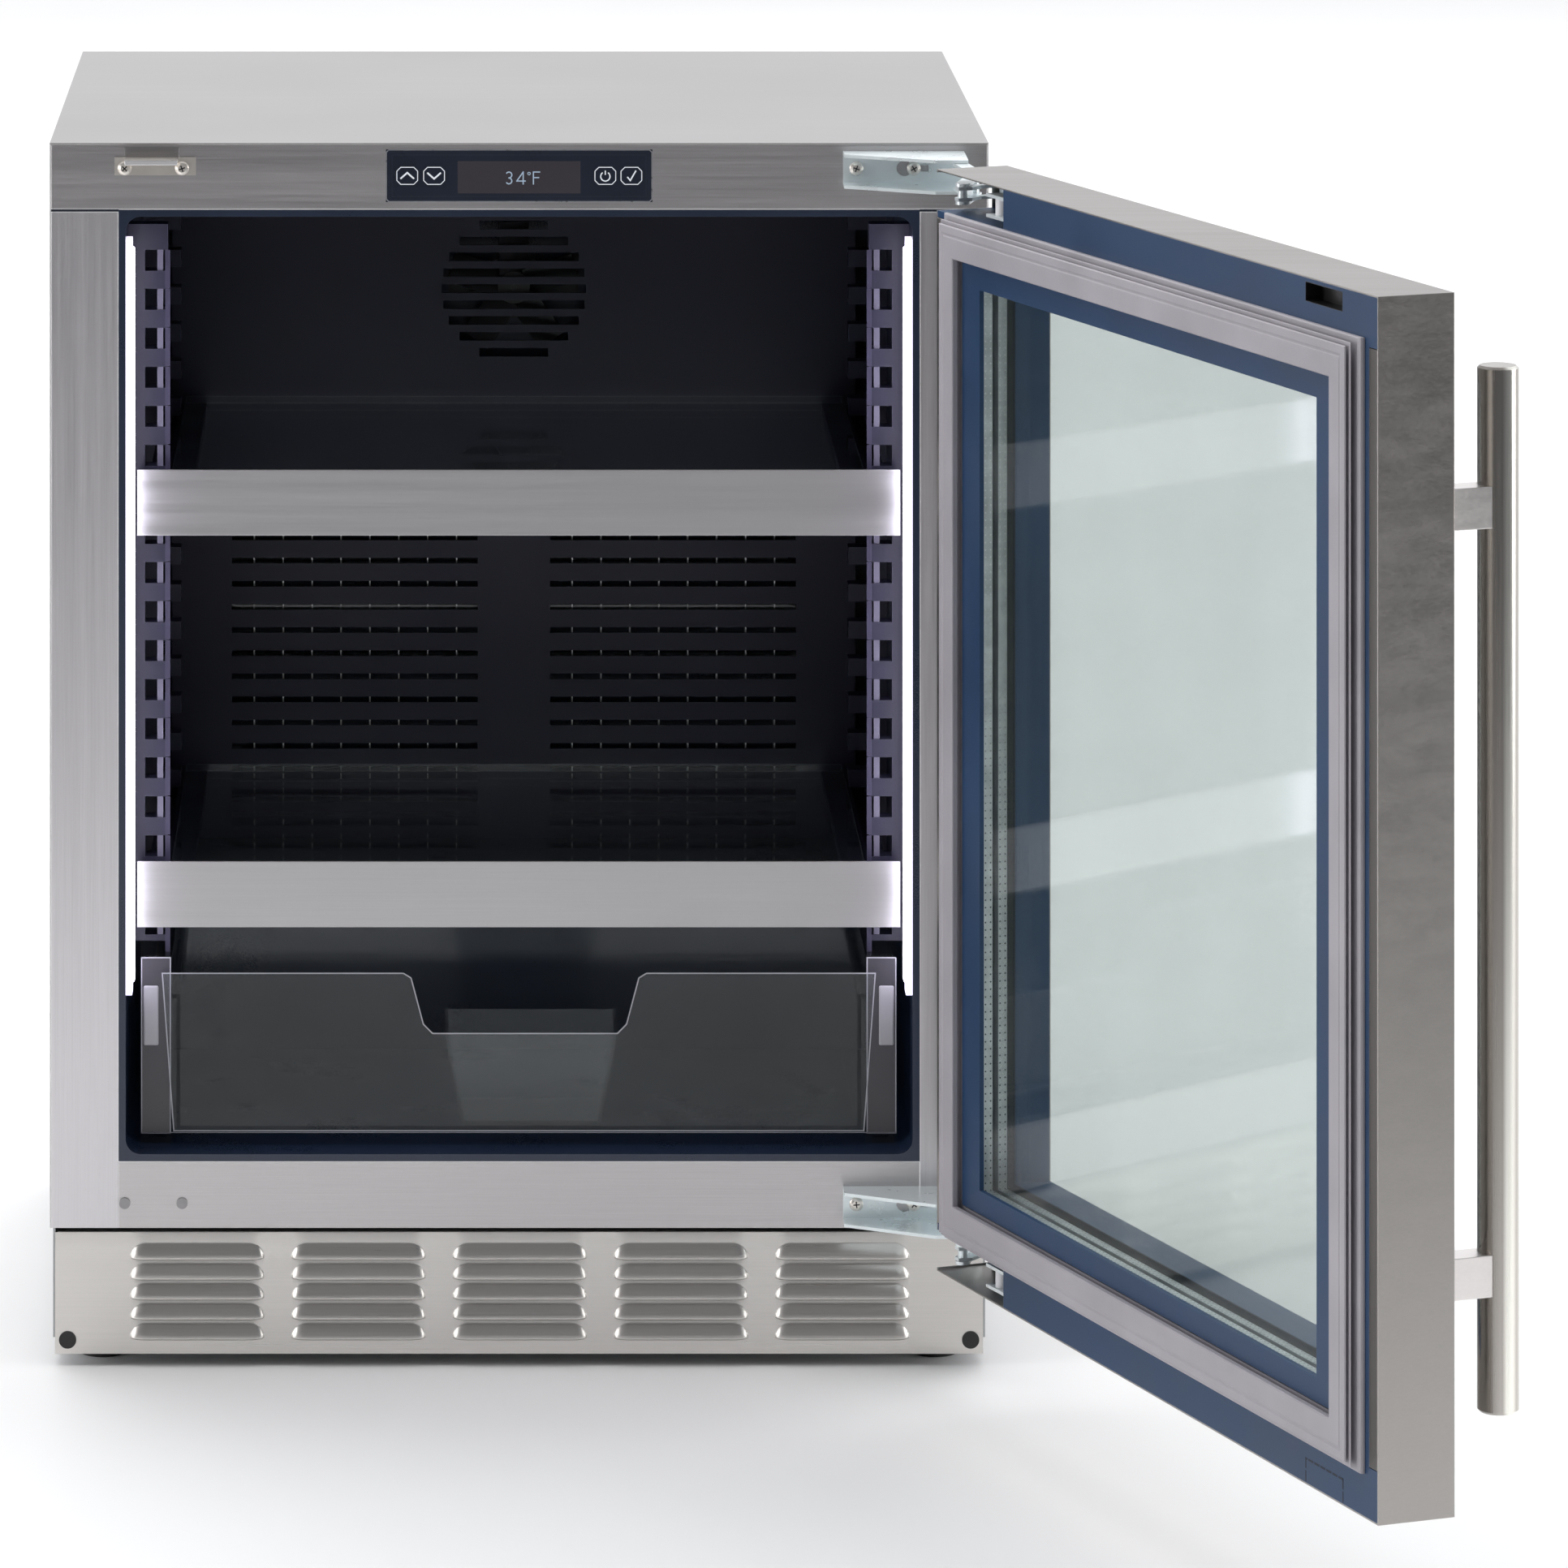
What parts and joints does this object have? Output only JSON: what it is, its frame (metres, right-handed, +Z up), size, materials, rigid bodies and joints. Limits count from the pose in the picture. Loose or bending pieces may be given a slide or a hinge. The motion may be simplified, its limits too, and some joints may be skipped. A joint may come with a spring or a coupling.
{
  "type": "undercounter refrigerator",
  "caption": "Stainless undercounter refrigerator with a glass door on articulated hinges, sliding shelves, a clear crisper bin and a bottom machine bay.",
  "frame": {"origin": "on the floor, at the middle of the cabinet width, in the plane of the cabinet front face", "axes": "+X to the right of a person facing the door, +Y towards the back, +Z up"},
  "size_m": [0.8708, 1.2407, 0.79],
  "materials": {
    "stainless_case": "brushed",
    "stainless_face": "brushed",
    "stainless_door": "brushed",
    "stainless_kick": "brushed",
    "handle_steel": "satin",
    "shelf_trim": "brushed",
    "zinc_plate": "bright plated",
    "screw_steel": "bright",
    "galvanised": "galvanised sheet",
    "liner_navy": "satin moulded",
    "post_navy": "satin",
    "cover_navy": "matt",
    "panel_navy": "gloss",
    "display": "smoked gloss",
    "black_plastic": "matt",
    "white_plastic": "satin",
    "led_diffuser": "opal",
    "clear_plastic": "clear",
    "clear_glass": "clear",
    "spacer_aluminium": "satin, perforated",
    "gasket_vinyl": "soft vinyl",
    "foam": "rigid foam",
    "board_green": "circuit board",
    "coil_aluminium": "mill",
    "condenser_metal": "mill",
    "copper": "drawn copper",
    "black_steel": "black enamel",
    "cord_rubber": "matt"
  },
  "bodies": {
    "cabinet": {"outer_case": "stainless_case", "top_fascia": "stainless_face", "face_stiles": "stainless_face", "bottom_rail": "stainless_face", "inner_liner": "liner_navy", "cabinet_insulation": "foam", "back_panel": "galvanised", "underside_sheet": "galvanised", "base_tray": "galvanised", "kick_plate": "stainless_kick", "kick_plate_plugs": "black_plastic", "control_bezel": "panel_navy", "display_window": "display", "control_board": "board_green", "catch_bracket": "zinc_plate", "hole_plugs": "screw_steel", "fixing_screws": "screw_steel", "led_channels": "white_plastic", "led_diffusers": "led_diffuser", "shelf_posts": "post_navy", "crisper_runners": "clear_plastic", "evaporator_cover": "cover_navy", "evaporator_coil": "coil_aluminium", "fan_motors": "black_plastic", "compressor": "black_steel", "condenser_coil": "condenser_metal", "fan_shroud": "galvanised", "filter_drier": "copper", "refrigerant_lines": "copper", "power_cord": "cord_rubber", "hinge_bases": "zinc_plate"},
    "front_left_levelling_foot": {"front_left_foot": "black_plastic"},
    "front_right_levelling_foot": {"front_right_foot": "black_plastic"},
    "rear_left_levelling_foot": {"rear_left_foot": "black_plastic"},
    "rear_right_levelling_foot": {"rear_right_foot": "black_plastic"},
    "up_button": {"up_key": "panel_navy"},
    "down_button": {"down_key": "panel_navy"},
    "power_button": {"power_key": "panel_navy"},
    "confirm_button": {"confirm_key": "panel_navy"},
    "upper_shelf": {"upper_shelf_glass": "clear_glass", "upper_shelf_trim": "shelf_trim", "upper_shelf_runners": "post_navy"},
    "lower_shelf": {"lower_shelf_glass": "clear_glass", "lower_shelf_trim": "shelf_trim", "lower_shelf_runners": "post_navy"},
    "crisper": {"crisper_bin": "clear_plastic"},
    "cup_insert": {"crisper_cup": "clear_plastic"},
    "evaporator_fan_wheel": {"evaporator_fan": "black_plastic"},
    "condenser_fan_wheel": {"condenser_fan": "black_plastic"},
    "outer_arms": {"hinge_outer_arms": "zinc_plate"},
    "inner_arms": {"hinge_inner_arms": "zinc_plate"},
    "door": {"door_hinge_brackets": "zinc_plate", "door_skin": "stainless_door", "door_liner": "liner_navy", "door_insulation": "foam", "glass_panes": "clear_glass", "glass_spacers": "spacer_aluminium", "gasket": "gasket_vinyl", "handle_tube": "handle_steel", "handle_posts": "handle_steel"}
  },
  "joints": [
    {"name": "front_left_foot_height", "type": "slide", "parent": "cabinet", "child": "front_left_levelling_foot", "axis": [0, 0, -1], "range_m": [0, 0.012]},
    {"name": "front_right_foot_height", "type": "slide", "parent": "cabinet", "child": "front_right_levelling_foot", "axis": [0, 0, -1], "range_m": [0, 0.012]},
    {"name": "rear_left_foot_height", "type": "slide", "parent": "cabinet", "child": "rear_left_levelling_foot", "axis": [0, 0, -1], "range_m": [0, 0.012]},
    {"name": "rear_right_foot_height", "type": "slide", "parent": "cabinet", "child": "rear_right_levelling_foot", "axis": [0, 0, -1], "range_m": [0, 0.012]},
    {"name": "up_key_press", "type": "slide", "parent": "cabinet", "child": "up_button", "axis": [0, 1, 0], "range_m": [0, 0.0004], "stiffness_N_per_m": 400},
    {"name": "down_key_press", "type": "slide", "parent": "cabinet", "child": "down_button", "axis": [0, 1, 0], "range_m": [0, 0.0004], "stiffness_N_per_m": 400},
    {"name": "power_key_press", "type": "slide", "parent": "cabinet", "child": "power_button", "axis": [0, 1, 0], "range_m": [0, 0.0004], "stiffness_N_per_m": 400},
    {"name": "confirm_key_press", "type": "slide", "parent": "cabinet", "child": "confirm_button", "axis": [0, 1, 0], "range_m": [0, 0.0004], "stiffness_N_per_m": 400},
    {"name": "upper_shelf_slide", "type": "slide", "parent": "cabinet", "child": "upper_shelf", "axis": [0, -1, 0], "range_m": [0, 0.3]},
    {"name": "lower_shelf_slide", "type": "slide", "parent": "cabinet", "child": "lower_shelf", "axis": [0, -1, 0], "range_m": [0, 0.3]},
    {"name": "crisper_slide", "type": "slide", "parent": "cabinet", "child": "crisper", "axis": [0, -1, 0], "range_m": [0, 0.2]},
    {"name": "cup_lift", "type": "slide", "parent": "crisper", "child": "cup_insert", "axis": [0, 0, 1], "range_m": [0, 0.06]},
    {"name": "evaporator_fan_spin", "type": "hinge", "parent": "cabinet", "child": "evaporator_fan_wheel", "pos_m": [0, 0.403, 0.64], "axis": [0, 1, 0], "continuous": true},
    {"name": "condenser_fan_spin", "type": "hinge", "parent": "cabinet", "child": "condenser_fan_wheel", "pos_m": [0.13, 0.434, 0.112], "axis": [0, 1, 0], "continuous": true},
    {"name": "outer_arm_turn", "type": "hinge", "parent": "cabinet", "child": "outer_arms", "pos_m": [0.282, -0.043, 0.44], "axis": [0, 0, 1], "range_deg": [-128.39, 4]},
    {"name": "inner_arm_turn", "type": "hinge", "parent": "outer_arms", "child": "inner_arms", "pos_m": [0.28856, -0.0855, 0.44], "axis": [0, 0, 1], "range_deg": [-4, 237.9]},
    {"name": "door_swing", "type": "hinge", "parent": "inner_arms", "child": "door", "pos_m": [0.27843, -0.12729, 0.44], "axis": [0, 0, 1], "range_deg": [-220.51, 0]}
  ],
  "couplings": [
    {"joint": "outer_arm_turn", "follows": "door_swing", "ratio": 0.56409},
    {"joint": "inner_arm_turn", "follows": "door_swing", "ratio": -1.0607}
  ]
}
